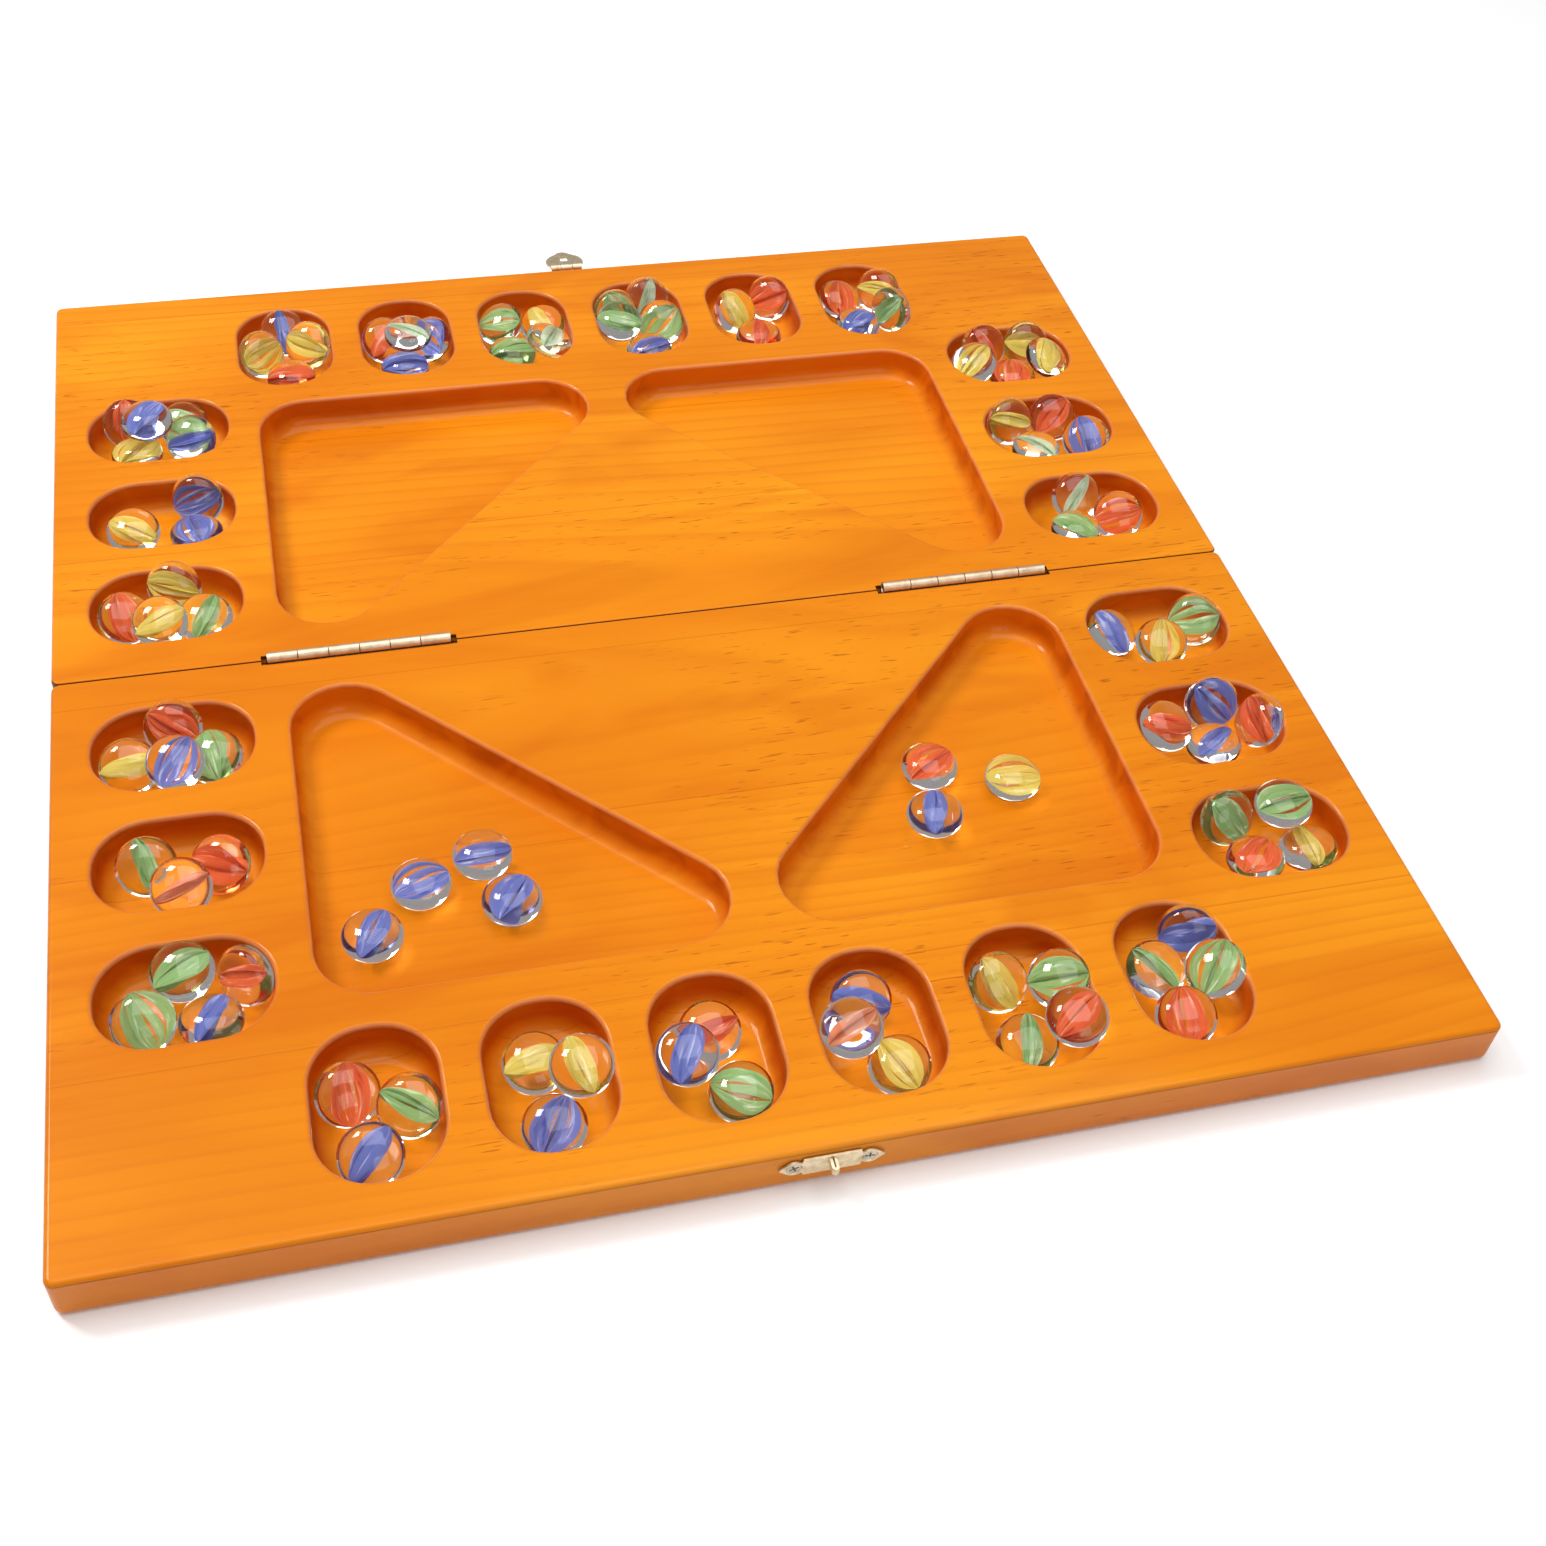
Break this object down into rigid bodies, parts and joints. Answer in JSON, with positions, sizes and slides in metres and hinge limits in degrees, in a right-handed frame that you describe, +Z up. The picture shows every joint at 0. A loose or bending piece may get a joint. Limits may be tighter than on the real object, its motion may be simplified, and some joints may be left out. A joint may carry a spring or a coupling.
{
  "type": "mancala board",
  "caption": "Folding wooden mancala board lying open: rows of pits round its edge, three-cornered trays, brass hinges, a brass hasp and glass stones.",
  "frame": {"origin": "on the table under the middle of the open board's whole length and width, hasp and catch included; the seam between the halves is 5.1 mm nearer than the origin", "axes": "+X to the right along the seam, +Y away from the catch towards the hasp, +Z up out of the pits"},
  "size_m": [0.38, 0.423, 0.0176],
  "materials": {
    "pine": "orange-stained, satin lacquer",
    "brass": "pale brass plate, polished",
    "screw_steel": "brass-washed steel",
    "blue_glass": "clear glass, coloured core",
    "red_glass": "clear glass, coloured core",
    "yellow_glass": "clear glass, coloured core",
    "green_glass": "clear glass, coloured core"
  },
  "bodies": {
    "near_half": {"board_near": "pine", "left_hinge_near_leaf": "brass", "left_hinge_near_leaf_screw_1": "screw_steel", "left_hinge_near_leaf_screw_2": "screw_steel", "left_hinge_near_leaf_screw_3": "screw_steel", "left_hinge_pin": "screw_steel", "right_hinge_near_leaf": "brass", "right_hinge_near_leaf_screw_1": "screw_steel", "right_hinge_near_leaf_screw_2": "screw_steel", "right_hinge_near_leaf_screw_3": "screw_steel", "right_hinge_pin": "screw_steel", "catch_plate": "brass", "catch_screw_left": "screw_steel", "catch_screw_right": "screw_steel"},
    "far_half": {"board_far": "pine", "left_hinge_far_leaf": "brass", "left_hinge_far_leaf_screw_1": "screw_steel", "left_hinge_far_leaf_screw_2": "screw_steel", "left_hinge_far_leaf_screw_3": "screw_steel", "right_hinge_far_leaf": "brass", "right_hinge_far_leaf_screw_1": "screw_steel", "right_hinge_far_leaf_screw_2": "screw_steel", "right_hinge_far_leaf_screw_3": "screw_steel", "hasp_plate": "brass", "hasp_pin": "screw_steel", "hasp_screw_left": "screw_steel", "hasp_screw_right": "screw_steel"},
    "hasp": {"hasp_flap": "brass"},
    "stone_left_1": {"stone_left_1": "blue_glass"},
    "stone_left_2": {"stone_left_2": "blue_glass"},
    "stone_left_3": {"stone_left_3": "blue_glass"},
    "stone_left_4": {"stone_left_4": "blue_glass"},
    "stone_right_1": {"stone_right_1": "red_glass"},
    "stone_right_2": {"stone_right_2": "blue_glass"},
    "stone_right_3": {"stone_right_3": "yellow_glass"}
  },
  "joints": [
    {"name": "fold", "type": "hinge", "parent": "near_half", "child": "far_half", "pos_m": [0, -0.0051, 0.0158], "axis": [1, 0, 0], "range_deg": [0, 180]},
    {"name": "hasp_swing", "type": "hinge", "parent": "far_half", "child": "hasp", "pos_m": [0, 0.1981, 0.0148], "axis": [1, 0, 0], "range_deg": [-78, 98]},
    {"name": "stone_left_1_lift", "type": "slide", "parent": "near_half", "child": "stone_left_1", "axis": [0, 0, -1], "range_m": [-0.04, 0]},
    {"name": "stone_left_2_lift", "type": "slide", "parent": "near_half", "child": "stone_left_2", "axis": [0, 0, -1], "range_m": [-0.04, 0]},
    {"name": "stone_left_3_lift", "type": "slide", "parent": "near_half", "child": "stone_left_3", "axis": [0, 0, -1], "range_m": [-0.04, 0]},
    {"name": "stone_left_4_lift", "type": "slide", "parent": "near_half", "child": "stone_left_4", "axis": [0, 0, -1], "range_m": [-0.04, 0]},
    {"name": "stone_right_1_lift", "type": "slide", "parent": "near_half", "child": "stone_right_1", "axis": [0, 0, -1], "range_m": [-0.04, 0]},
    {"name": "stone_right_2_lift", "type": "slide", "parent": "near_half", "child": "stone_right_2", "axis": [0, 0, -1], "range_m": [-0.04, 0]},
    {"name": "stone_right_3_lift", "type": "slide", "parent": "near_half", "child": "stone_right_3", "axis": [0, 0, -1], "range_m": [-0.04, 0]}
  ]
}
